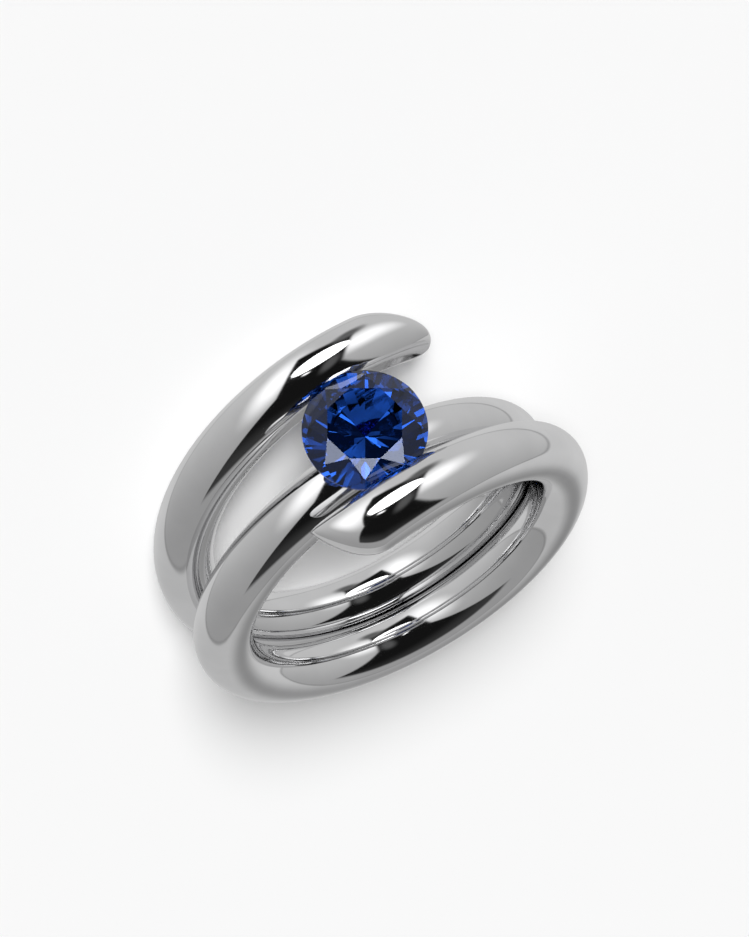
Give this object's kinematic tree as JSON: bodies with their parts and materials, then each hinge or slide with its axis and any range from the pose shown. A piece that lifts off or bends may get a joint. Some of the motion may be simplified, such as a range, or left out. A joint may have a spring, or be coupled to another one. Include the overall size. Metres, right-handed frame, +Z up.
{
  "type": "tension set ring",
  "caption": "Finger ring coiled from one polished steel rod, whose two free ends grip a round brilliant cut blue stone between them.",
  "frame": {"origin": "middle of the ring's outline, on the surface that it lies on", "axes": "+Z up from the surface as the ring lies on its side, -Y towards the stone, +X towards the side that the back end comes round"},
  "size_m": [0.0252, 0.0276, 0.0133],
  "materials": {
    "band": "mirror polished steel",
    "stone": "polished facets, deep blue"
  },
  "bodies": {
    "root": {"band": "band", "stone": "stone"}
  },
  "joints": []
}
